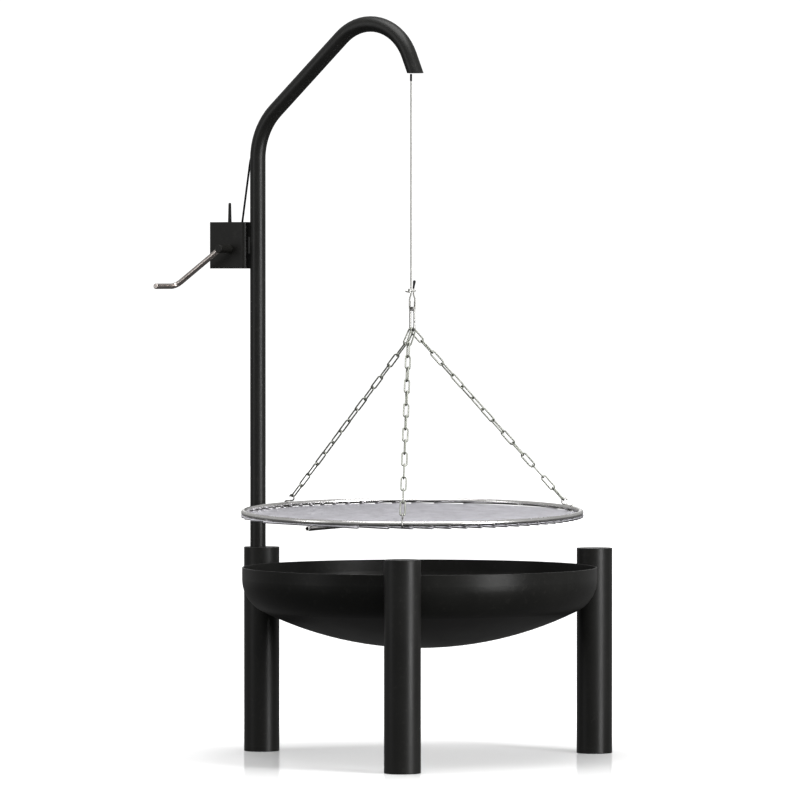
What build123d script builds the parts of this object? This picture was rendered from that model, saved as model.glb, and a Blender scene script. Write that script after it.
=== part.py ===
from build123d import *
from math import acos, asin, atan2, cos, degrees, hypot, pi, radians, sin, sqrt, tan
import os

os.makedirs("parts", exist_ok=True)

# A fire bowl on three tube legs. A bent tube arm stands in a socket in one leg and turns there. A hand winch
# on the arm pulls a wire rope through it, and the rope carries a round grate on three chains.
# Millimetres. +Z is up, z = 0 is the ground, and +X runs along the arm, from the mast towards the bowl.

# ---- driving dimensions ----
bowl_r = 360.0            # outer radius of the dished head
sheet = 3.0               # bowl sheet
crown_r = 2 * bowl_r      # outer radius of the crown
knuckle_r = 0.2 * bowl_r  # outer radius of the knuckle
flange = 24.0             # straight flange above the knuckle
rim_z = 389.0             # rim above the ground

leg_r = 36.5
leg_wall = 3.0
leg_h = 421.0             # whole height, with foot plate and cap
plate = 3.0               # foot plates and caps
leg_gap = 0.1             # between leg and bowl, closed by the weld beads
leg_angle = {"front": -60, "right": 60, "mast": 180}

tube_r = 16.0             # mast and arm tube
tube_wall = 2.6
mast_out = 9.5            # mast axis outside the leg's axis
socket_play = 0.3
socket_wall = 3.2
socket_depth = 250.0
bend1_z = 1219.8          # first bend: start, radius, angle from upright
bend1_r = 131.0
bend1_deg = 48.7
arm_run = 223.0           # straight stretch between the bends
bend2_r = 106.4
bend2_deg = 157.3         # heading of the arm's end, from upright
tip_z = 1390.0            # level cut at the arm's end

rope_r = 1.5
coated_rope_r = 1.75
rope_out = 385.0          # hanging rope, from the mast axis
eye_turn = 34.9           # plane of the rope's eye, about Z
snap_turn = -35.0         # plane of the snap hook, about Z

grate_r = 342.5           # ring's centreline
ring_wire = 5.0
bar_r = 3.0
bar_pitch = 27.0
bars_each_side = 12
bar_reach = 346.0         # radius on which the bars end
rod_r = 5.0
rod_reach = 335.0
grate_z = 500.5
grate_shift = 2.5         # grate's centre beside the rope's line
grate_turn = -3.7         # bars' direction, about Z
grate_tilt = 1.96         # the ring hangs low on the side of low_side
low_side = -55.1

link_wire = 1.6
link_width = 13.0
link_pitch = 32.6
hook_wire = 1.75
chain_top_z = 877.0

box_near = 20.0           # winch box, outward from the mast axis
box_len = 90.0
box_z = 994.0
box_h = 96.0
box_half = 18.5           # half its depth, along Y
wall = 2.5
crank_out = 59.0          # crank shaft, outward from the mast axis
crank_z = 1034.5
gear_module = 1.5
pinion_teeth = 12
gear_teeth = 24
drum_core = 13.5
drum_wrap = 15.5          # radius of the wound rope's centre
shaft_r = 5.0
run_fit = 0.05            # radial play of every shaft in its bore
crank_throw = 138.0
crank_drop = 33.9         # the crank arm's slope below level
crank_plane = 50.6        # crank arm's plane, in front of the arm's plane
crank_rod_r = 5.75
handle_len = 70.0

# ---- places worked out from them ----
bowl_x = 112.8            # puts the origin under the middle of the whole object
leg_circle = bowl_r + leg_gap + leg_r
mast_x = bowl_x - leg_circle - mast_out
rope_x = mast_x + rope_out


def save(part, name):
    part.label = name
    export_step(part, f"parts/{name}.step")


def on_circle(radius, angle):
    return radius * cos(radians(angle)), radius * sin(radians(angle))


def upright(x, y, turn):
    """A vertical plane through (x, y): local x is level along turn, local y is up."""
    side = Vector(*on_circle(1, turn), 0)
    return Plane(origin=(x, y, 0), x_dir=side, z_dir=side.cross(Vector(0, 0, 1)))


# ---- bowl ----
tangent_z = rim_z - flange
knuckle_c = (bowl_r - knuckle_r, tangent_z)
crown_c = (0, tangent_z + sqrt((crown_r - knuckle_r) ** 2 - (bowl_r - knuckle_r) ** 2))
meet = degrees(atan2(knuckle_c[1] - crown_c[1], knuckle_c[0]))
bowl_axis = Axis((bowl_x, 0, 0), (0, 0, 1))

with BuildPart() as bowl:
    with BuildSketch(upright(bowl_x, 0, 0)):
        with BuildLine():
            CenterArc(crown_c, crown_r, -90, meet + 90)
            CenterArc(knuckle_c, knuckle_r, meet, -meet)
            Polyline((bowl_r, tangent_z), (bowl_r, rim_z), (bowl_r - sheet, rim_z), (bowl_r - sheet, tangent_z))
            CenterArc(knuckle_c, knuckle_r - sheet, 0, meet)
            CenterArc(crown_c, crown_r - sheet, meet, -(meet + 90))
            Line((0, crown_c[1] - crown_r + sheet), (0, crown_c[1] - crown_r))
        make_face()
    revolve(axis=bowl_axis)
    fillet(bowl.edges().filter_by(GeomType.CIRCLE).group_by(Axis.Z)[-1], 1.0)
save(bowl.part, "bowl")

# ---- legs, their foot plates and caps ----
leg_parts = {}
for name, angle in leg_angle.items():
    x, y = on_circle(leg_circle, angle)
    x += bowl_x
    with BuildPart() as leg:
        with BuildSketch(Plane((x, y, plate))):
            Circle(leg_r)
            Circle(leg_r - leg_wall, mode=Mode.SUBTRACT)
        extrude(amount=leg_h - 2 * plate)
    save(leg.part, f"leg_{name}")
    leg_parts[name] = leg.part

    with BuildPart() as foot:
        with BuildSketch(Plane((x, y, 0))):
            Circle(leg_r)
        extrude(amount=plate)
        chamfer(foot.edges().group_by(Axis.Z)[0], 0.8)
    save(foot.part, f"foot_{name}")

    with BuildPart() as cap:
        with BuildSketch(Plane((x, y, leg_h - plate))):
            Circle(leg_r)
        extrude(amount=plate)
        fillet(cap.edges().group_by(Axis.Z)[-1], 1.0)
        if name == "mast":
            with Locations((mast_x, 0, leg_h)):
                Hole(tube_r + socket_play + socket_wall, depth=2 * plate)
    save(cap.part, f"cap_{name}")

# ---- weld beads: one upright bead on each side of each leg ----
bead_r = 3.5
bead_side = 13.0          # beside the line where leg and bowl meet
bead_h = 38.0
with BuildPart() as weld_beads:
    for angle in leg_angle.values():
        for side in (-1, 1):
            turn = angle + side * degrees(asin(bead_side / (bowl_r + 1.5)))
            x, y = on_circle(bowl_r + 1.5, turn)
            with Locations((bowl_x + x, y, rim_z - 1 - bead_h / 2)):
                Cylinder(bead_r, bead_h)
    fillet(weld_beads.edges().filter_by(GeomType.CIRCLE), 1.5)
    with Locations((bowl_x, 0, rim_z - bead_h)):
        Cylinder(bowl_r + 0.02, 3 * bead_h, mode=Mode.SUBTRACT)
    for angle in leg_angle.values():
        x, y = on_circle(leg_circle, angle)
        with Locations((bowl_x + x, y, rim_z - bead_h)):
            Cylinder(leg_r + 0.02, 3 * bead_h, mode=Mode.SUBTRACT)
save(weld_beads.part, "weld_beads")

# ---- socket in the mast's leg ----
socket_z = leg_h - socket_depth
with BuildPart() as mast_socket:
    with BuildSketch(Plane((mast_x, 0, socket_z))):
        Circle(tube_r + socket_play + socket_wall)
        Circle(tube_r + socket_play, mode=Mode.SUBTRACT)
    extrude(amount=socket_depth)
save(mast_socket.part, "mast_socket")

base_t = 6.0
with BuildPart() as socket_base:
    with BuildSketch(Plane((mast_x + mast_out, 0, socket_z - base_t))):
        Circle(leg_r - leg_wall - 0.02)
    extrude(amount=base_t)
save(socket_base.part, "socket_base")

# ---- bent arm ----
arm_plane = upright(mast_x, 0, 0)
heading1 = (sin(radians(bend1_deg)), cos(radians(bend1_deg)))
heading2 = (sin(radians(bend2_deg)), cos(radians(bend2_deg)))
bend1_c = (bend1_r, bend1_z)
run_start = (bend1_r * (1 - cos(radians(bend1_deg))), bend1_z + bend1_r * sin(radians(bend1_deg)))
run_end = (run_start[0] + arm_run * heading1[0], run_start[1] + arm_run * heading1[1])
bend2_c = (run_end[0] + bend2_r * heading1[1], run_end[1] - bend2_r * heading1[0])
arm_end = (bend2_c[0] - bend2_r * heading2[1], bend2_c[1] + bend2_r * heading2[0])
spare = 60.0              # tube left to cut off level
mast_z = socket_z + 0.3

# the rope enters low on the first bend's outer side and leans on the tube's inner side from there on
hole = (-18.4, 1222.0)
rope_side = 11.0          # rope's centre inside the tube's centreline
in_r1 = bend1_r - rope_side
in_r2 = bend2_r - rope_side
to_c1 = hypot(bend1_c[0] - hole[0], bend1_c[1] - hole[1])
aim = atan2(bend1_c[1] - hole[1], bend1_c[0] - hole[0])
entry_deg = 90 - degrees(aim + asin(in_r1 / to_c1))   # heading of the rope through the hole, from upright

with BuildPart() as mast_arm:
    with BuildLine(arm_plane) as arm_line:
        Line((0, mast_z), (0, bend1_z))
        CenterArc(bend1_c, bend1_r, 180, -bend1_deg)
        Line(run_start, run_end)
        CenterArc(bend2_c, bend2_r, 180 - bend1_deg, bend1_deg - bend2_deg)
        Line(arm_end, (arm_end[0] + spare * heading2[0], arm_end[1] + spare * heading2[1]))
    with BuildSketch(Plane((mast_x, 0, mast_z))):
        Circle(tube_r)
        Circle(tube_r - tube_wall, mode=Mode.SUBTRACT)
    sweep(path=arm_line.wire())
    with Locations((mast_x + arm_end[0], 0, tip_z - spare)):
        Box(4 * spare, 4 * tube_r, 2 * spare, mode=Mode.SUBTRACT)
    with Locations(Location((mast_x + hole[0], 0, hole[1]), (0, entry_deg, 0))):
        Cylinder(4.5, 36, mode=Mode.SUBTRACT)
save(mast_arm.part, "mast_arm")

# ---- rope: drum, riser, arm, arm's end ----
def at(out, z, y=0.0):
    """A point given by its distance outside the mast's axis, its height and its place across the arm."""
    return (mast_x - out, y, z)


gear_gap = 0.15           # spare centre distance of the gears
drum_out = 59.9
drum_lean = gear_module * (pinion_teeth + gear_teeth) / 2 + gear_gap
drum_z = crank_z + sqrt(drum_lean ** 2 - (drum_out - crank_out) ** 2)

to_drum = hypot(hole[0] + drum_out, hole[1] - drum_z)
riser_turn = atan2(hole[0] + drum_out, hole[1] - drum_z) - asin(drum_wrap / to_drum)
riser_dir = (sin(riser_turn), cos(riser_turn))
riser_len = sqrt(to_drum ** 2 - drum_wrap ** 2) - 11.5
riser_foot = (hole[0] - riser_len * riser_dir[0], hole[1] - riser_len * riser_dir[1])

entry = radians(entry_deg)
touch1 = (bend1_c[0] - in_r1 * cos(entry), bend1_c[1] + in_r1 * sin(entry))
touch2 = (bend1_c[0] - in_r1 * heading1[1], bend1_c[1] + in_r1 * heading1[0])
touch3 = (bend2_c[0] - in_r2 * heading1[1], bend2_c[1] + in_r2 * heading1[0])
touch4 = (bend2_c[0] - in_r2 * heading2[1], bend2_c[1] + in_r2 * heading2[0])
corner_z = touch4[1] - (rope_out - touch4[0]) / tan(radians(180 - bend2_deg))
entry_turn_r = 25.0
exit_turn_r = 25.0


def straight_rope(radius, start, end, name):
    with BuildPart() as rope:
        way = Vector(*end) - Vector(*start)
        with BuildSketch(Plane(origin=start, z_dir=way)):
            Circle(radius)
        extrude(amount=way.length)
    save(rope.part, name)


with BuildPart() as rope_riser:
    with BuildLine(arm_plane) as riser_line:
        FilletPolyline(riser_foot, hole, (hole[0] + 8.5 * sin(entry), hole[1] + 8.5 * cos(entry)),
                       radius=entry_turn_r)
    with BuildSketch(Plane(origin=riser_line.wire() @ 0, z_dir=riser_line.wire() % 0)):
        Circle(coated_rope_r)
    sweep(path=riser_line.wire())
save(rope_riser.part, "rope_riser")

with BuildPart() as rope_in_arm:
    with BuildLine(arm_plane) as inner_line:
        Line((hole[0] + 8.7 * sin(entry), hole[1] + 8.7 * cos(entry)), touch1)
        CenterArc(bend1_c, in_r1, 180 - entry_deg, entry_deg - bend1_deg)
        Line(touch2, touch3)
        CenterArc(bend2_c, in_r2, 180 - bend1_deg, bend1_deg - bend2_deg)
        FilletPolyline(touch4, (rope_out, corner_z), (rope_out, tip_z - 8), radius=exit_turn_r)
    rope_path = inner_line.wire()
    with BuildSketch(Plane(origin=rope_path @ 0, z_dir=rope_path % 0)):
        Circle(coated_rope_r)
    sweep(path=rope_path)
    with Locations((rope_x, 0, tip_z - 20 + 0.5)):
        Box(40, 40, 40, mode=Mode.SUBTRACT)
save(rope_in_arm.part, "rope_in_arm")

# ---- guide in the arm's end, with the rope's passage through it ----
guide_len = 14.0
with BuildPart() as rope_guide:
    with Locations(Location((mast_x + arm_end[0], 0, arm_end[1]), (0, bend2_deg, 0))):
        Cylinder(tube_r - tube_wall - 0.02, 2 * spare)
    with Locations((rope_x, 0, tip_z + 1 - spare), (rope_x, 0, tip_z + 1 + guide_len + spare)):
        Box(4 * spare, 4 * tube_r, 2 * spare, mode=Mode.SUBTRACT)
    with BuildLine(arm_plane) as guide_line:
        FilletPolyline(touch4, (rope_out, corner_z), (rope_out, tip_z - 8), radius=exit_turn_r)
    with BuildSketch(Plane(origin=guide_line.wire() @ 0, z_dir=guide_line.wire() % 0)):
        Circle(coated_rope_r + 0.4)
    sweep(path=guide_line.wire(), mode=Mode.SUBTRACT)
save(rope_guide.part, "rope_guide")

sleeve_top = tip_z - 1.5
sleeve_end = tip_z - 16.0
eye_start = 958.0         # top of the rope's eye piece
straight_rope(2.3, (rope_x, 0, sleeve_top), (rope_x, 0, sleeve_end), "rope_sleeve")
straight_rope(rope_r, (rope_x, 0, sleeve_end - 0.3), (rope_x, 0, eye_start + 0.3), "rope_hanging")

# ---- bracket between arm and winch box, with its screws ----
box_far = box_near + box_len
box_top = box_z + box_h
bracket_z = 1042.0
with BuildPart() as winch_bracket:
    with Locations(at(box_near - 4, bracket_z)):
        Box(8, 18, 34)
    with Locations((mast_x, 0, bracket_z)):
        Cylinder(tube_r + 0.02, 60, mode=Mode.SUBTRACT)
    with Locations(*[Location(at(box_near - 2, bracket_z + dz), (0, 90, 0)) for dz in (-10, 10)]):
        Cylinder(2.52, 5, mode=Mode.SUBTRACT)
save(winch_bracket.part, "winch_bracket")

with BuildPart() as bracket_screws:
    with Locations(*[Location(at(box_near + wall, bracket_z + dz), (0, -90, 0)) for dz in (-10, 10)]):
        Cylinder(4.5, 3, align=(Align.CENTER, Align.CENTER, Align.MIN))
        Cylinder(2.5, 5, align=(Align.CENTER, Align.CENTER, Align.MAX))
save(bracket_screws.part, "bracket_screws")

# ---- winch box: a cover open at the back, and its back plate on four posts ----
post_out = (box_near + 9, box_far - 8)
post_z = (box_z + 8, box_top - 8)
posts = [(out, z) for out in post_out for z in post_z]
pawl_out, pawl_z = 82.0, 1072.0
lever_out = 81.3
mid_out = (box_near + box_far) / 2
mid_z = (box_z + box_top) / 2
across = (90, 0, 0)       # turns a part's own z across the arm


def pins(radius, length, y, places, mode=Mode.ADD):
    """Round bars across the arm at the given places, starting at y."""
    with Locations(*[Location(at(out, z, y), across) for out, z in places]):
        Cylinder(radius, length, align=(Align.CENTER, Align.CENTER, Align.MAX), mode=mode)


with BuildPart() as winch_cover:
    with Locations(at(mid_out, mid_z)):
        Box(box_len, 2 * box_half, box_h)
    near_front = winch_cover.edges().filter_by(Axis.Z).sort_by(Axis.Y)[0:2].sort_by(Axis.X)[-1]
    fillet(near_front, 8)
    fillet(winch_cover.faces().sort_by(Axis.Y)[0].outer_wire().edges(), 1.8)
    with Locations(at(mid_out, mid_z, wall)):
        Box(box_len - 2 * wall, 2 * box_half, box_h - 2 * wall, mode=Mode.SUBTRACT)
    with Locations(at(39.5, box_top)):
        Box(13, 9, 3 * wall, mode=Mode.SUBTRACT)
    with Locations(at(lever_out - 3.5, box_top, 12.9)):
        Box(22, 4.6, 3 * wall, mode=Mode.SUBTRACT)
    pins(7.02, 6, -box_half - 1, [(crank_out, crank_z)], Mode.SUBTRACT)
    with Locations(*[Location(at(box_near, bracket_z + dz), (0, 90, 0)) for dz in (-10, 10)]):
        Cylinder(2.52, 8, mode=Mode.SUBTRACT)
save(winch_cover.part, "winch_cover")

plate_y = box_half - wall
with BuildPart() as winch_back_plate:
    with Locations(at(mid_out, mid_z, plate_y + wall / 2)):
        Box(box_len - 2 * wall - 0.2, wall, box_h - 2 * wall - 0.2)
    pins(7.02, 6, plate_y - 1, [(crank_out, crank_z)], Mode.SUBTRACT)
    pins(shaft_r + 0.02, 6, plate_y - 1, [(drum_out, drum_z)], Mode.SUBTRACT)
    pins(3.02, 6, plate_y - 1, [(pawl_out, pawl_z)], Mode.SUBTRACT)
    pins(2.02, 6, plate_y - 1, posts, Mode.SUBTRACT)
save(winch_back_plate.part, "winch_back_plate")

with BuildPart() as housing_posts:
    pins(4.5, 2 * plate_y, -plate_y, posts)
    pins(2.02, 11, plate_y - 10, posts, Mode.SUBTRACT)
save(housing_posts.part, "housing_posts")

with BuildPart() as cover_screws:
    pins(3.8, 2, box_half, posts)
    pins(2, 10, box_half - 10, posts)
    pins(1.3, 2, box_half + 1, posts, Mode.SUBTRACT)
save(cover_screws.part, "cover_screws")

# ---- bushes and fixed pins ----
for name, y in (("crank_bush_front", -box_half), ("crank_bush_back", plate_y - 0.3)):
    with BuildPart() as bush:
        pins(7, 2.8, y, [(crank_out, crank_z)])
        pins(shaft_r + run_fit, 8, y - 2, [(crank_out, crank_z)], Mode.SUBTRACT)
    save(bush.part, name)

with BuildPart() as drum_pin:
    pins(shaft_r, box_half + plate_y - 0.02, 0.02 - plate_y, [(drum_out, drum_z)])
save(drum_pin.part, "drum_pin")

with BuildPart() as pawl_pin:
    pins(3, box_half - 3, 3, [(pawl_out, pawl_z)])
    pins(4.6, 1.2, 2, [(pawl_out, pawl_z)])
save(pawl_pin.part, "pawl_pin")

with BuildPart() as pawl_spring:
    coils = [Location(at(pawl_out, pawl_z, 4.4 + 0.9 * i), across) for i in range(7)]
    with Locations(*coils):
        Torus(4.1, 0.5)
    with Locations(at(pawl_out + 4.1, pawl_z - 5, 4.4)):
        Cylinder(0.5, 11)
save(pawl_spring.part, "pawl_spring")

# ---- gears, drum and wound rope ----
mesh_turn = degrees(atan2(drum_z - crank_z, crank_out - drum_out))  # crank to drum, seen from the front


def gear(teeth, turn, start, thick, bore):
    """A spur gear across the arm, with one tooth's middle at the angle turn, seen from the front."""
    root, tip, step = gear_module * (teeth / 2 - 1.3), gear_module * (teeth / 2 + 0.9), 360 / teeth
    outline = []
    for i in range(teeth):
        for radius, shift in ((root, -0.27), (tip, -0.11), (tip, 0.11), (root, 0.27)):
            outline.append(on_circle(radius, turn + (i + shift) * step))
    with BuildSketch(Plane(origin=start, x_dir=(1, 0, 0), z_dir=(0, -1, 0))) as face:
        Polygon(*outline, align=None)
        Circle(bore, mode=Mode.SUBTRACT)
    extrude(face.sketch, amount=-thick)


gear_y = -15.2
with BuildPart() as drum_gear:
    gear(gear_teeth, mesh_turn + 180, at(drum_out, drum_z, gear_y), 4, shaft_r + run_fit)
    pins(9, 0.9, gear_y + 4, [(drum_out, drum_z)])
    pins(shaft_r + run_fit, 2, gear_y + 3.5, [(drum_out, drum_z)], Mode.SUBTRACT)
save(drum_gear.part, "drum_gear")

flange_r = 18.8
drum_half = 10.3
with BuildPart() as rope_drum:
    pins(drum_core, 2 * drum_half, -drum_half, [(drum_out, drum_z)])
    pins(flange_r, 1.5, -drum_half, [(drum_out, drum_z)])
    pins(flange_r, 1.5, drum_half - 1.5, [(drum_out, drum_z)])
    pins(shaft_r + run_fit, 4 * drum_half, -2 * drum_half, [(drum_out, drum_z)], Mode.SUBTRACT)
save(rope_drum.part, "rope_drum")

wraps = 5
wrap_step = 3.4
with BuildPart() as rope_on_drum:
    with BuildSketch(Plane(origin=at(drum_out, drum_z), x_dir=(1, 0, 0), z_dir=(0, 0, 1))):
        with Locations((drum_core + 1, 0)):
            Rectangle(2 - 0.04, (wraps - 1) * wrap_step)
        for i in range(wraps):
            with Locations((drum_wrap, (i - (wraps - 1) / 2) * wrap_step)):
                Circle(coated_rope_r)
    revolve(axis=Axis(at(drum_out, drum_z), (0, 1, 0)))
save(rope_on_drum.part, "rope_on_drum")

# ---- crank ----
ratchet_r = 15.0
ratchet_teeth = 12
ratchet_y = 11.0
shaft_end = -40.0
with BuildPart() as crank_shaft:
    pins(shaft_r, box_half - 0.7 - shaft_end, shaft_end, [(crank_out, crank_z)])
    with BuildSketch(Plane(origin=at(crank_out, crank_z, 14.8), x_dir=(1, 0, 0), z_dir=(0, -1, 0))):
        Circle(shaft_r + 1)
        Circle(shaft_r - 0.4, mode=Mode.SUBTRACT)
    extrude(amount=-0.8, mode=Mode.SUBTRACT)
save(crank_shaft.part, "crank_shaft")

with BuildPart() as shaft_circlip:
    pins(6.8, 0.7, 14.85, [(crank_out, crank_z)])
    pins(shaft_r - 0.38, 2, 14, [(crank_out, crank_z)], Mode.SUBTRACT)
save(shaft_circlip.part, "shaft_circlip")

with BuildPart() as pinion:
    gear(pinion_teeth, mesh_turn + 180 / pinion_teeth, at(crank_out, crank_z, gear_y), 4, shaft_r + 0.02)
save(pinion.part, "pinion")

with BuildPart() as ratchet_wheel:
    with BuildSketch(Plane(origin=at(crank_out, crank_z, ratchet_y), x_dir=(1, 0, 0), z_dir=(0, -1, 0))):
        teeth_line = []
        for i in range(ratchet_teeth):
            teeth_line.append(on_circle(ratchet_r, i * 360 / ratchet_teeth + 22))
            teeth_line.append(on_circle(ratchet_r - 3, i * 360 / ratchet_teeth + 24))
        Polygon(*teeth_line, align=None)
        Circle(shaft_r + 0.02, mode=Mode.SUBTRACT)
    extrude(amount=-3.5)
save(ratchet_wheel.part, "ratchet_wheel")

hub_r = 8.5
hub_end = -57.8
arm_way = (-cos(radians(crank_drop)), 0, -sin(radians(crank_drop)))
arm_root = Vector(*at(crank_out, crank_z, -crank_plane))
with BuildPart() as crank_hub:
    pins(hub_r, -box_half - 0.6 - hub_end, hub_end, [(crank_out, crank_z)])
    fillet(crank_hub.edges().group_by(Axis.Y)[0], 1.2)
    pins(shaft_r + 0.02, 60, shaft_end - 0.2, [(crank_out, crank_z)], Mode.SUBTRACT)
    with BuildSketch(Plane(origin=arm_root - Vector(*arm_way) * 5, z_dir=arm_way)):
        Circle(crank_rod_r + 0.03)
    extrude(amount=30, mode=Mode.SUBTRACT)
save(crank_hub.part, "crank_hub")

knee = arm_root + Vector(*arm_way) * crank_throw
with BuildPart() as crank_arm:
    with BuildLine() as crank_line:
        FilletPolyline(arm_root - Vector(*arm_way) * 4.9, knee, knee - Vector(0, handle_len, 0), radius=15)
    with BuildSketch(Plane(origin=crank_line.wire() @ 0, z_dir=crank_line.wire() % 0)):
        Circle(crank_rod_r)
    sweep(path=crank_line.wire())
    fillet(crank_arm.edges().filter_by(GeomType.CIRCLE).sort_by(Axis.Y)[0], 2.0)
save(crank_arm.part, "crank_arm")

# ---- pawl with its release lever ----
pawl_dir = 32.0           # of the pawl's tip, about the crank shaft
tip_a = crank_out + (ratchet_r + 0.4) * cos(radians(pawl_dir))
tip_h = crank_z + (ratchet_r + 0.4) * sin(radians(pawl_dir))
pawl_y = 11.2
lever_top = 1127.5
lever_end = 2.3           # half the lever's width at its rounded top
with BuildPart() as pawl_lever:
    with BuildSketch(Plane(origin=at(0, 0, pawl_y), x_dir=(1, 0, 0), z_dir=(0, -1, 0))):
        with Locations((-pawl_out, pawl_z)):
            Circle(7)
        Polygon((-pawl_out - 5, pawl_z - 1), (-tip_a - 3, tip_h + 1.4), (-tip_a, tip_h),
                (-pawl_out + 5.5, pawl_z - 3), align=None)
        Polygon((-pawl_out - 6, pawl_z), (-lever_out - 3.5, box_top), (-lever_out - lever_end, lever_top),
                (-lever_out + lever_end, lever_top), (-lever_out + 3.5, box_top), (-pawl_out + 6.4, pawl_z),
                align=None)
        with Locations((-lever_out, lever_top)):
            Circle(lever_end)
        with Locations((-pawl_out, pawl_z)):
            Circle(3 + run_fit, mode=Mode.SUBTRACT)
    extrude(amount=-3.4)
save(pawl_lever.part, "pawl_lever")

# ---- rope's eye, its clip and the thimble ----
hang_x = rope_x + grate_shift * cos(radians(eye_turn))
hang_y = grate_shift * sin(radians(eye_turn))
eye_plane = upright(rope_x, 0, eye_turn)
eye_z = 909.5             # rope's centre at the eye's bottom
eye_half = 5.5
tail_x = 2 * grate_shift
eye_near, eye_far = grate_shift - eye_half, grate_shift + eye_half

with BuildPart() as rope_eye:
    with BuildLine(eye_plane) as eye_line:
        FilletPolyline((0, eye_start), (0, 942), (eye_near, 932), (eye_near, eye_z), (eye_far, eye_z),
                       (eye_far, 932), (tail_x, 942), (tail_x, 957), radius=5.3)
    with BuildSketch(Plane(origin=eye_line.wire() @ 0, z_dir=eye_line.wire() % 0)):
        Circle(rope_r)
    sweep(path=eye_line.wire())
save(rope_eye.part, "rope_eye")

tail_foot = eye_plane.from_local_coords((tail_x, 957.2, 0))
tail_top = eye_plane.from_local_coords((tail_x + 1.2, 968.5, 0))
straight_rope(2.4, tuple(tail_foot), tuple(tail_top), "rope_tail_sleeve")

thimble_t = 0.8
thimble_r = eye_half - rope_r - 0.05 - thimble_t / 2
with BuildPart() as thimble:
    with BuildLine(eye_plane) as thimble_line:
        Line((grate_shift - thimble_r, 928), (grate_shift - thimble_r, eye_z + eye_half))
        CenterArc((grate_shift, eye_z + eye_half), thimble_r, 180, 180)
        Line((grate_shift + thimble_r, eye_z + eye_half), (grate_shift + thimble_r, 928))
    with BuildSketch(Plane(origin=thimble_line.wire() @ 0, x_dir=eye_plane.x_dir, z_dir=(0, 0, -1))):
        Rectangle(thimble_t, 3.6)
    sweep(path=thimble_line.wire())
save(thimble.part, "thimble")

clip_z = 949.0
clip_leg = 4.4            # half the distance between the clip's legs
clip_plane = Plane(origin=(rope_x, 0, clip_z), x_dir=eye_plane.x_dir, z_dir=(0, 0, 1))
with BuildPart() as clip_saddle:
    with BuildSketch(clip_plane.offset(-4)):
        with Locations((-3.7, 0)):
            RectangleRounded(6.6, 14.4, 1.5)
        Circle(rope_r + 0.03, mode=Mode.SUBTRACT)
    extrude(amount=8)
    with BuildSketch(Plane(origin=clip_plane.from_local_coords((-10, 0, 0)), x_dir=clip_plane.y_dir,
                           z_dir=clip_plane.x_dir)):
        with Locations((-clip_leg, 0), (clip_leg, 0)):
            Circle(1.62)
    extrude(amount=20, mode=Mode.SUBTRACT)
save(clip_saddle.part, "clip_saddle")

with BuildPart() as clip_u_bolt:
    with BuildLine(clip_plane) as bolt_line:
        Line((-12, -clip_leg), (3.9, -clip_leg))
        CenterArc((3.9, 0), clip_leg, -90, 180)
        Line((3.9, clip_leg), (-12, clip_leg))
    with BuildSketch(Plane(origin=bolt_line.wire() @ 0, z_dir=bolt_line.wire() % 0)):
        Circle(1.6)
    sweep(path=bolt_line.wire())
save(clip_u_bolt.part, "clip_u_bolt")

with BuildPart() as clip_nuts:
    with BuildSketch(Plane(origin=clip_plane.from_local_coords((-10.3, 0, 0)), x_dir=clip_plane.y_dir,
                           z_dir=clip_plane.x_dir)):
        with Locations((-clip_leg, 0), (clip_leg, 0)):
            RegularPolygon(3.5, 6)
            Circle(1.62, mode=Mode.SUBTRACT)
    extrude(amount=3.2)
save(clip_nuts.part, "clip_nuts")

# ---- snap hook ----
snap_plane = upright(hang_x, hang_y, snap_turn)
snap_wire = 2.2
snap_half = 12.0
snap_low = 869.2
snap_high = eye_z + rope_r + thimble_t + 0.6 + snap_wire
with BuildPart() as carabiner:
    with BuildLine(snap_plane) as snap_line:
        FilletPolyline((snap_half, 905), (snap_half, snap_high), (-snap_half, snap_high), (-snap_half, snap_low),
                       (snap_half, snap_low), (snap_half, 880), radius=4.5)
    with BuildSketch(Plane(origin=snap_line.wire() @ 0, z_dir=snap_line.wire() % 0)):
        Circle(snap_wire)
    sweep(path=snap_line.wire())
save(carabiner.part, "carabiner")
straight_rope(1.9, tuple(snap_plane.from_local_coords((snap_half, 880.1, 0))),
              tuple(snap_plane.from_local_coords((snap_half, 904.9, 0))), "carabiner_gate")

# ---- grate ----
tilt = radians(grate_tilt)
lean = on_circle(sin(tilt), low_side)
grate_up = Vector(lean[0], lean[1], cos(tilt))
grate_y = grate_up.cross(Vector(*on_circle(1, grate_turn), 0)).normalized()
grate_plane = Plane(origin=(hang_x, hang_y, grate_z), x_dir=grate_y.cross(grate_up), z_dir=grate_up)
bars_z = -(ring_wire + bar_r - 0.4)
rod_z = bars_z - (bar_r + rod_r - 0.4)
along_bars = (0, 90, 0)
along_rod = (90, 0, 0)

with BuildPart() as grate_ring:
    with Locations(grate_plane):
        Torus(grate_r, ring_wire)
save(grate_ring.part, "grate_ring")


def bars(radius, mode):
    with Locations(grate_plane):
        for k in range(-bars_each_side, bars_each_side + 1):
            side = k * bar_pitch
            with Locations(Location((0, side, bars_z), along_bars)):
                Cylinder(radius, 2 * sqrt(bar_reach ** 2 - side ** 2), mode=mode)


with BuildPart() as grate_bars:
    bars(bar_r, Mode.ADD)
    with Locations(grate_plane):
        Torus(grate_r, ring_wire + 0.02, mode=Mode.SUBTRACT)
save(grate_bars.part, "grate_bars")

with BuildPart() as grate_rod:
    with Locations(grate_plane):
        with Locations(Location((0, 0, rod_z), along_rod)):
            Cylinder(rod_r, 2 * rod_reach)
            Cylinder(rod_r - 1.2, 2 * rod_reach, mode=Mode.SUBTRACT)
    bars(bar_r + 0.02, Mode.SUBTRACT)
save(grate_rod.part, "grate_rod")

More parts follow.
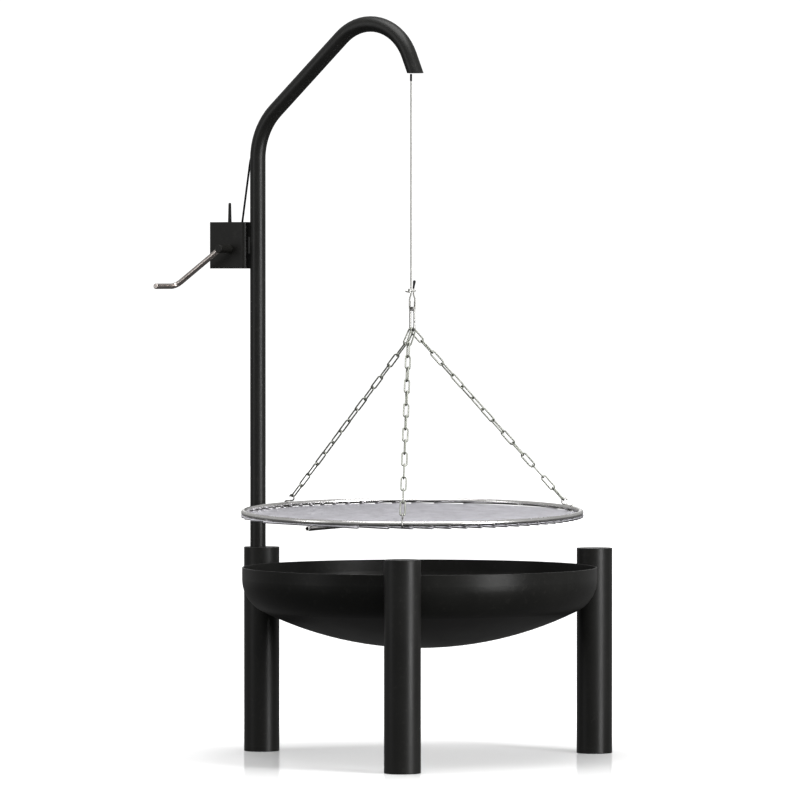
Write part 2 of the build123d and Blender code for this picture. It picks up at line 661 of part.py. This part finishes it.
# ---- chains and their S-hooks ----
links = 14
link_gap = 0.1
hook_span = 20.0          # between the centres of a hook's two curls
hook_low_r = ring_wire + 0.3 + hook_wire
hook_high_r = 6.0
snap_way = Vector(*on_circle(1, snap_turn), 0)
chains = {"front": (-58.4, 6.5), "right": (53.7, 0.0), "left": (173.9, -6.5)}


def link(pitch):
    """One link, its long side along x and its flat side in xy."""
    half = (pitch + link_gap) / 2 + link_wire - (link_width / 2 - link_wire)
    bend = link_width / 2 - link_wire
    with BuildPart(mode=Mode.PRIVATE) as one:
        with BuildLine() as line:
            Line((-half, bend), (half, bend))
            CenterArc((half, 0), bend, 90, -180)
            Line((half, -bend), (-half, -bend))
            CenterArc((-half, 0), bend, -90, -180)
        with BuildSketch(Plane(origin=(-half, bend, 0), z_dir=(1, 0, 0))):
            Circle(link_wire)
        sweep(path=line.wire())
    return one.part


def link_at(middle, way, flat):
    return Location(Plane(origin=middle, x_dir=way, z_dir=flat))


for name, (angle, beside) in chains.items():
    x, y = on_circle(grate_r, angle)
    ring_up = -(grate_up.X * x + grate_up.Y * y) / grate_up.Z
    ring_at = Vector(hang_x + x, hang_y + y, grate_z + ring_up)
    held = Vector(hang_x, hang_y, snap_low) + snap_way * beside

    # the first link hangs square to the snap hook's wire, the others run straight to the ring
    first_way = ring_at - held
    first_way = (first_way - snap_way * first_way.dot(snap_way)).normalized()
    first_flat = snap_way
    first_top = held - first_way * (snap_wire + link_wire + link_gap)
    first_mid = first_top + first_way * ((link_pitch + link_gap) / 2 + link_wire)
    first_end = first_mid + first_way * ((link_pitch + link_gap) / 2 + link_wire)

    way = (ring_at - first_end).normalized()
    out = way.cross(Vector(*on_circle(1, angle + 90), 0)).normalized()
    side = way.cross(out)
    high_c = ring_at - way * hook_span
    last_end = high_c - way * (hook_high_r - hook_wire - link_wire - 0.05)
    start = first_end - way * (2 * link_wire + link_gap)
    pitch = ((last_end - start).length - link_gap - 2 * link_wire) / links

    flat = first_way.cross(snap_way)
    roll = degrees(atan2(flat.dot(side), flat.dot(out)))
    turns = round((roll + 90 * (links - 1)) / 180)
    step = (180 * turns - roll) / (links - 1)
    with BuildPart() as chain:
        with Locations(link_at(first_mid, first_way, first_flat)):
            add(link(link_pitch))
        one = link(pitch)
        for k in range(links):
            middle = start + way * (link_wire + (pitch + link_gap) / 2 + k * pitch)
            face = out * cos(radians(roll + k * step)) + side * sin(radians(roll + k * step))
            with Locations(link_at(middle, way, face)):
                add(one)
    save(chain.part, f"chain_{name}")

    # in the hook's plane x runs up the chain and y to its outer side; the straight shank crosses over
    hook_plane = Plane(origin=ring_at, x_dir=way * -1, z_dir=way.cross(out) * -1)
    cross = degrees(acos((hook_low_r + hook_high_r) / hook_span))
    with BuildPart() as hook:
        with BuildLine(hook_plane) as hook_line:
            CenterArc((0, 0), hook_low_r, cross + 250, -250)
            Line(on_circle(hook_low_r, cross), (hook_span - hook_high_r * cos(radians(cross)),
                                                -hook_high_r * sin(radians(cross))))
            CenterArc((hook_span, 0), hook_high_r, 180 + cross, 250)
        with BuildSketch(Plane(origin=hook_line.wire() @ 0, z_dir=hook_line.wire() % 0)):
            Circle(hook_wire)
        sweep(path=hook_line.wire())
    save(hook.part, f"hook_{name}")

print("bends of the rope, mm:", entry_turn_r, in_r1, in_r2, exit_turn_r, "rope's eye:", 5.3)
print("bends of the arm, mm:", bend1_r, bend2_r, "chain pitch, mm:", round(pitch, 3))
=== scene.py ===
import math

import bpy
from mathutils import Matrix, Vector


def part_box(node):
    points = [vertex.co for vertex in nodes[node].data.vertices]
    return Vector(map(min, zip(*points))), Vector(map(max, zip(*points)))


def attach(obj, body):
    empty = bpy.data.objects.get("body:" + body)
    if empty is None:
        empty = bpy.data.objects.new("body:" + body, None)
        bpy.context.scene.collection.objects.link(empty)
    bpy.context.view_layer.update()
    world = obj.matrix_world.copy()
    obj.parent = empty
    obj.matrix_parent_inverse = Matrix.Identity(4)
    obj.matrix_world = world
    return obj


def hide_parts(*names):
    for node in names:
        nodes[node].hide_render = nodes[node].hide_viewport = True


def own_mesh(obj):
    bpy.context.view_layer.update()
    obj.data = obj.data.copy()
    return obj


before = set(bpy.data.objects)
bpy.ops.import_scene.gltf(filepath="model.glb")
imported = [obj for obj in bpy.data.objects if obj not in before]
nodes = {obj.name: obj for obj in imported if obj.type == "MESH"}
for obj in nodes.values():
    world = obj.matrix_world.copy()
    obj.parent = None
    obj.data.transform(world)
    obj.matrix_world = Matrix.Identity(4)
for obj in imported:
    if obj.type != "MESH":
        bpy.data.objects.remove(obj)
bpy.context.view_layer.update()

# ---- places in the object's frame, metres ----
MAST_TO_BOWL = 0.4061
ARM_REACH = 0.385                     # from the mast's axis to the hanging rope
BOWL_X = (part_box("bowl")[0][0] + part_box("bowl")[1][0]) / 2
MAST_X = BOWL_X - MAST_TO_BOWL
ROPE_X = MAST_X + ARM_REACH
ROPE_TOP, ROPE_LOW = 1.3737, 0.9583   # the bare rope's ends
EYE_TURN = math.radians(34.9)         # the rope eye's plane, about Z

# ---- view and studio ----
VIEW_TURN = math.radians(34.87)       # the camera's azimuth
VIEW_TILT = math.radians(90 - 1.149)
VIEW_PAN = math.radians(0.1643)
VIEW_DISTANCE = 13.818
VIEW_HEIGHT = 1.0049
LENS, SENSOR = 306.8, 36
TABLE_GLOSS = 0.28
TABLE_PAINTED_GLOW = (0.08, 0.75)             # painted glow on the table, dim under the object as painted shade and bright away from it as painted light
TABLE_PAINTED_GLOW_REACH = (0.4, 1.2)         # the distances between which the painted glow rises
WALL_DISTANCE = 20.0


# ---- node helpers ----
class Tree:
    """A material's nodes, added and joined in one call each."""

    def __init__(self, name):
        self.mat = bpy.data.materials.new(name)
        self.mat.use_nodes = True
        self.nt = self.mat.node_tree
        self.bsdf = self.nt.nodes["Principled BSDF"]

    def add(self, kind, links=(), **values):
        node = self.nt.nodes.new(kind)
        for key, value in values.items():
            if hasattr(node, key):
                setattr(node, key, value)
            else:
                node.inputs[key.replace("_", " ")].default_value = value
        for socket, source in dict(links).items():
            self.nt.links.new(source, node.inputs[socket])
        return node

    def set(self, **values):
        for key, value in values.items():
            socket = self.bsdf.inputs[key.replace("_", " ")]
            if isinstance(value, bpy.types.NodeSocket):
                self.nt.links.new(value, socket)
            else:
                socket.default_value = value

    def coords(self, scale=(1, 1, 1)):
        """Object coordinates: every piece keeps its pattern when it moves."""
        tex = self.add("ShaderNodeTexCoord")
        return self.add("ShaderNodeMapping", {"Vector": tex.outputs["Object"]}, Scale=scale).outputs[0]

    def noise(self, where, scale, detail=3.0, rough=0.55):
        return self.add("ShaderNodeTexNoise", {"Vector": where}, Scale=scale, Detail=detail,
                        Roughness=rough).outputs["Fac"]

    def ramp(self, fac, low, high, start=0.3, end=0.7):
        node = self.add("ShaderNodeValToRGB", {"Fac": fac})
        node.color_ramp.elements[0].position = start
        node.color_ramp.elements[1].position = end
        node.color_ramp.elements[0].color = (*low, 1)
        node.color_ramp.elements[1].color = (*high, 1)
        return node.outputs["Color"]

    def span(self, fac, low, high, start=0.3, end=0.7):
        return self.add("ShaderNodeMapRange", {"Value": fac}, From_Min=start, From_Max=end,
                        To_Min=low, To_Max=high).outputs[0]

    def bump(self, height, depth, strength=1.0, below=None):
        links = {"Height": height}
        if below is not None:
            links["Normal"] = below
        return self.add("ShaderNodeBump", links, Distance=depth, Strength=strength).outputs[0]


def satin_black(name, low, high, rough=(0.34, 0.46), orange_peel=0.00006, gloss=0.27):
    """Heat-proof satin paint on steel: fine orange peel, wide soft changes of sheen, a little dust."""
    t = Tree(name)
    where = t.coords()
    wide = t.noise(where, 7.0, 4.0)
    fine = t.noise(where, 650.0, 2.0)
    dust = t.noise(where, 90.0, 6.0, 0.7)
    paint = t.ramp(wide, low, high)
    dusty = t.add("ShaderNodeMix", {"Factor": t.span(dust, 0.0, 0.05, 0.56, 0.75), "A": paint},
                  data_type="RGBA", B=(0.22, 0.21, 0.19, 1)).outputs["Result"]
    t.set(Base_Color=dusty, Roughness=t.span(wide, *rough), Specular_IOR_Level=gloss,
          Normal=t.bump(fine, orange_peel))
    return t.mat


def bare_metal(name, low, high, rough, grain=(1, 1, 1), scale=220.0, depth=0.000004, spots=0.0):
    """Bare metal: drawing marks or grain as a fine relief, a patchy tone and sheen, optional dull spots."""
    t = Tree(name)
    where = t.coords(grain)
    lines = t.noise(where, scale, 4.0, 0.6)
    patch = t.noise(t.coords(), 26.0, 5.0, 0.6)
    tone = t.ramp(patch, low, high)
    if spots:
        speck = t.noise(t.coords(), 420.0, 3.0)
        tone = t.add("ShaderNodeMix", {"Factor": t.span(speck, 0.0, spots, 0.52, 0.66), "A": tone},
                     data_type="RGBA", B=(0.2, 0.19, 0.16, 1)).outputs["Result"]
    t.set(Base_Color=tone, Metallic=1.0, Roughness=t.span(patch, *rough), Normal=t.bump(lines, depth))
    return t.mat


# ---- paints and plastics: darkest colour, lightest colour, span of roughness, relief ----
black = satin_black("satin black paint", (0.007, 0.007, 0.0064), (0.011, 0.011, 0.0102))
bowl_black = satin_black("bowl paint", (0.008, 0.008, 0.0075), (0.013, 0.013, 0.012), (0.32, 0.42),
                         0.00008, gloss=0.15)
box_black = satin_black("winch box paint", (0.004, 0.0038, 0.0032), (0.007, 0.0066, 0.0056), (0.42, 0.55),
                        0.0001)
weld_black = satin_black("painted weld", (0.012, 0.012, 0.012), (0.02, 0.02, 0.02), (0.35, 0.5), 0.0003)
# black colour on the rope from the winch drum to the mast's hole and on the rope's tail end
black_rope = satin_black("black rope", (0.004, 0.004, 0.0045), (0.009, 0.009, 0.01), (0.5, 0.62), 0.00002)
nylon = satin_black("nylon guide", (0.02, 0.02, 0.021), (0.035, 0.035, 0.036), (0.45, 0.55), 0.00002)

# ---- metals ----
stainless = bare_metal("drawn stainless", (0.68, 0.67, 0.65), (0.8, 0.79, 0.78), (0.22, 0.3), scale=500.0)
bar_steel = bare_metal("grate bars", (0.68, 0.67, 0.71), (0.8, 0.79, 0.84), (0.34, 0.46), (0.08, 1, 1), 700.0)
polished = bare_metal("polished crank", (0.42, 0.375, 0.35), (0.54, 0.495, 0.47), (0.24, 0.32), scale=350.0)
rope_steel = bare_metal("rope wire", (0.3, 0.295, 0.275), (0.38, 0.375, 0.35), (0.45, 0.55), scale=900.0)
hook_steel = bare_metal("hook steel", (0.36, 0.355, 0.34), (0.46, 0.455, 0.44), (0.34, 0.44), scale=500.0)
chain_steel = bare_metal("galvanised chain", (0.27, 0.28, 0.245), (0.37, 0.38, 0.34), (0.42, 0.52),
                         scale=300.0, depth=0.000012, spots=0.15)
zinc = bare_metal("zinc plate", (0.5, 0.5, 0.48), (0.62, 0.62, 0.59), (0.3, 0.4), scale=260.0, spots=0.15)
bronze = bare_metal("bearing bronze", (0.42, 0.27, 0.12), (0.55, 0.36, 0.17), (0.3, 0.42), scale=300.0)

finish = {
    bowl_black: ["bowl"],
    black: ["leg_front", "leg_right", "leg_mast", "foot_front", "foot_right", "foot_mast", "cap_front",
            "cap_right", "cap_mast", "mast_socket", "socket_base", "mast_arm", "winch_bracket"],
    box_black: ["winch_cover", "winch_back_plate", "crank_hub", "pawl_lever"],
    weld_black: ["weld_beads"],
    black_rope: ["rope_riser", "rope_in_arm", "rope_on_drum", "rope_tail_sleeve", "rope_sleeve"],
    nylon: ["rope_guide"],
    stainless: ["grate_ring", "grate_rod"],
    hook_steel: ["carabiner", "carabiner_gate", "hook_front", "hook_left", "hook_right", "thimble"],
    bar_steel: ["grate_bars"],
    polished: ["crank_arm"],
    rope_steel: ["rope_hanging", "rope_eye"],
    chain_steel: ["chain_front", "chain_left", "chain_right"],
    zinc: ["bracket_screws", "housing_posts", "cover_screws", "drum_pin", "pawl_pin", "pawl_spring",
           "rope_drum", "drum_gear", "crank_shaft", "pinion", "ratchet_wheel", "shaft_circlip", "clip_saddle",
           "clip_u_bolt", "clip_nuts"],
    bronze: ["crank_bush_front", "crank_bush_back"],
}
for material, names in finish.items():
    for name in names:
        nodes[name].data.materials.clear()
        nodes[name].data.materials.append(material)


# ---- mesh and curve helpers ----
def linked(name, data):
    obj = bpy.data.objects.new(name, data)
    bpy.context.scene.collection.objects.link(obj)
    return obj


def rings_object(name, rings, material):
    """A closed skin over rings of points, each with as many points as the next."""
    count = len(rings[0])
    points = [p for ring in rings for p in ring]
    faces = []
    for i in range(len(rings) - 1):
        for k in range(count):
            a, b = i * count + k, i * count + (k + 1) % count
            faces.append((a, b, b + count, a + count))
    faces += [tuple(range(count))[::-1], tuple(range(len(points) - count, len(points)))]
    mesh = bpy.data.meshes.new(name)
    mesh.from_pydata(points, [], faces)
    mesh.polygons.foreach_set("use_smooth", [True] * len(mesh.polygons))
    mesh.materials.append(material)
    return linked(name, mesh)


def ring(middle, u, v, radii):
    """Points round a middle in the plane of u and v, one for each radius."""
    turns = [math.tau * k / len(radii) for k in range(len(radii))]
    return [middle + (u * math.cos(a) + v * math.sin(a)) * r for a, r in zip(turns, radii)]


def nurbs(name, route, steps):
    """A curve object of one open spline, with the route's points as its control points."""
    data = bpy.data.curves.new(name, "CURVE")
    data.dimensions = "3D"
    data.resolution_u = steps
    spline = data.splines.new("NURBS")
    spline.points.add(len(route) - 1)
    for point, place in zip(spline.points, route):
        point.co = (*place, 1)
    spline.order_u, spline.use_endpoint_u = 3, True
    return linked(name, data)


def spline_points(route, steps):
    """The points of the route's spline, read from the curve with no bevel."""
    curve = nurbs("route", route, steps)
    mesh = bpy.data.meshes.new_from_object(curve)
    points = [v.co.copy() for v in mesh.vertices]
    bpy.data.meshes.remove(mesh)
    bpy.data.curves.remove(curve.data)
    return points


def laid_rope(name, line, radius, material, strands=6, lay=0.021, round_=24, relief=0.16):
    """A rope along a spline's points, with its strands as twisted lobes."""
    rings, run = [], 0.0
    side = Vector((0, 1, 0))
    for i, p in enumerate(line):
        before = line[max(i - 1, 0)]
        way = (line[min(i + 1, len(line) - 1)] - before).normalized()
        u = (side - way * side.dot(way)).normalized()
        run += (p - before).length
        lobes = [abs(math.cos(strands / 2 * (math.tau * k / round_ - math.tau * run / lay)))
                 for k in range(round_)]
        rings.append(ring(p, u, way.cross(u), [radius * (1 - relief + relief * lobe) for lobe in lobes]))
    return rings_object(name, rings, material)


def turned(name, foot, top, profile, material, round_=24):
    """A surface turned about the line from foot to top; profile holds (share of the line, radius)."""
    foot, top = Vector(foot), Vector(top)
    way = (top - foot).normalized()
    u = way.orthogonal().normalized()
    rings = [ring(foot.lerp(top, t), u, way.cross(u), [r] * round_) for t, r in profile]
    return rings_object(name, rings, material)


# ---- hanging rope, shortened as the grate rises ----
hanging_route = [(ROPE_X, 0, ROPE_TOP), (ROPE_X, 0, (ROPE_TOP + ROPE_LOW) / 2), (ROPE_X, 0, ROPE_LOW)]
hanging_line = spline_points(hanging_route, 460)
hanging = laid_rope("hanging_wire_rope", hanging_line, 0.0015, rope_steel)
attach(hanging, "rope")
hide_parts("rope_hanging")
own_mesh(hanging)

# ---- the rope's black run from the winch drum to the mast's hole ----
riser_route = [(MAST_X - 0.04277, 0, 1.07053), (MAST_X - 0.0222, 0, 1.1984), (MAST_X - 0.0184, 0, 1.222),
               (MAST_X - 0.01324, 0, 1.22875)]
riser = nurbs("winch_rope_run", riser_route, 24)
riser.data.bevel_depth, riser.data.bevel_resolution, riser.data.use_fill_caps = 0.0022, 6, True
riser.data.materials.append(black_rope)
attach(riser, "crane")
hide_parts("rope_riser")


# ---- the black shrunk end on the rope's tail ----
def in_eye_plane(out, z):
    return (ROPE_X + out * math.cos(EYE_TURN), out * math.sin(EYE_TURN), z)


end_profile = [(0, 0.0016), (0.04, 0.0019), (0.3, 0.00205), (0.55, 0.0024), (0.75, 0.0029), (0.87, 0.0029),
               (0.94, 0.0024), (0.98, 0.0014), (1, 0.0004)]
end_cap = turned("rope_tail_end", in_eye_plane(0.005, 0.9535), in_eye_plane(0.0072, 0.9705), end_profile,
                 black_rope)
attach(end_cap, "grate")
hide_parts("rope_tail_sleeve")

# ---- camera: far off, a little above the grate, with a long lens ----
camera = linked("camera", bpy.data.cameras.new("camera"))
bpy.context.scene.camera = camera
camera.location = (BOWL_X + VIEW_DISTANCE * math.sin(VIEW_TURN), -VIEW_DISTANCE * math.cos(VIEW_TURN),
                   VIEW_HEIGHT)
camera.rotation_euler = (VIEW_TILT, 0, VIEW_TURN + VIEW_PAN)
camera.data.lens = LENS
camera.data.sensor_width = SENSOR
camera.data.clip_end = 200


# ---- floor, backdrop, light ----
def stage_plane(name, corners, material):
    mesh = bpy.data.meshes.new(name)
    mesh.from_pydata(corners, [], [(0, 1, 2, 3)])
    mesh.materials.append(material)
    obj = linked(name, mesh)
    return obj


def table(half=40.0):
    """A white table with a faint gloss, which the object itself doesn't mirror, and a painted glow: dim under
    the object as painted shade, bright away from it as painted light.
    """
    t = Tree("studio table")
    out = next(n for n in t.nt.nodes if n.type == "OUTPUT_MATERIAL")
    diffuse = t.add("ShaderNodeBsdfDiffuse", Color=(0.85, 0.85, 0.85, 1))
    gloss = t.add("ShaderNodeBsdfGlossy", Color=(1, 1, 1, 1), Roughness=0.1)
    sheen = t.add("ShaderNodeMixShader", {1: diffuse.outputs[0], 2: gloss.outputs[0]}, Fac=TABLE_GLOSS)
    # painted light: the table glows more the farther it is from the object, which leaves a painted shade
    # under it
    away = t.add("ShaderNodeVectorMath", {0: t.coords()}, operation="LENGTH")
    painted_glow_strength = t.span(away.outputs["Value"], *TABLE_PAINTED_GLOW, *TABLE_PAINTED_GLOW_REACH)
    glow = t.add("ShaderNodeEmission", {"Strength": painted_glow_strength}, Color=(1, 1, 1, 1))
    total = t.add("ShaderNodeAddShader", {0: sheen.outputs[0], 1: glow.outputs[0]})
    t.nt.links.new(total.outputs[0], out.inputs["Surface"])
    corners = [(-half, -half, 0), (half, -half, 0), (half, half, 0), (-half, half, 0)]
    top = stage_plane("table", corners, t.mat)
    top.location = (BOWL_X, 0, -0.0003)
    top.visible_glossy = top.visible_diffuse = False


def wall():
    """A lit white wall far behind the object, for the table to mirror."""
    t = Tree("studio wall")
    t.set(Base_Color=(0, 0, 0, 1), Roughness=1.0, Specular_IOR_Level=0.0, Emission_Color=(1, 1, 1, 1),
          Emission_Strength=1.1)
    back = Vector((-math.sin(VIEW_TURN), math.cos(VIEW_TURN), 0)) * WALL_DISTANCE
    half = Vector((math.cos(VIEW_TURN), math.sin(VIEW_TURN), 0)) * 2.6
    middle = Vector((BOWL_X, 0, 0)) + back
    low, high = Vector((0, 0, -0.5)), Vector((0, 0, 7.0))
    left, right = middle - half, middle + half
    stage_plane("wall", [left + low, right + low, right + high, left + high], t.mat)


def surroundings(seen, above, below):
    """The world: white where the camera sees it, dim above and darker below where surfaces mirror it."""
    world = bpy.data.worlds.new("studio")
    bpy.context.scene.world = world
    world.use_nodes = True
    nt = world.node_tree
    back = nt.nodes["Background"]
    kinds = ("LightPath", "TexCoord", "SeparateXYZ", "MapRange", "Mix")
    path, way, split, tilt, mix = (nt.nodes.new("ShaderNode" + kind) for kind in kinds)
    nt.links.new(way.outputs["Generated"], split.inputs[0])
    nt.links.new(split.outputs["Z"], tilt.inputs["Value"])
    for socket, value in (("From Min", -0.15), ("From Max", 0.15), ("To Min", below), ("To Max", above)):
        tilt.inputs[socket].default_value = value
    nt.links.new(path.outputs["Is Camera Ray"], mix.inputs["Factor"])
    nt.links.new(tilt.outputs[0], mix.inputs["A"])
    mix.inputs["B"].default_value = seen
    nt.links.new(mix.outputs["Result"], back.inputs["Strength"])
    back.inputs["Color"].default_value = (1, 1, 1, 1)


def soft_box(name, angle, distance, height, size, power, aim_z=0.7):
    """An area light; angle is measured round the object from the camera's side, to the right."""
    light = bpy.data.lights.new(name, "AREA")
    light.shape = "RECTANGLE"
    light.size, light.size_y = size
    light.energy = power
    obj = linked(name, light)
    turn = VIEW_TURN + math.radians(angle)
    aim = Vector((BOWL_X, 0, aim_z))
    obj.location = (aim.x + distance * math.sin(turn), aim.y - distance * math.cos(turn), height)
    obj.rotation_euler = (aim - obj.location).to_track_quat("-Z", "Y").to_euler()


table()
wall()
surroundings(seen=1.05, above=0.45, below=0.12)
soft_box("right strip", 48, 3.4, height=1.0, size=(0.9, 2.6), power=120)
soft_box("left strip", -70, 3.2, height=1.3, size=(0.4, 2.4), power=14)
soft_box("top", 0, 0.5, height=3.4, size=(2.2, 2.2), power=75)
bpy.context.scene.view_settings.view_transform = "Standard"
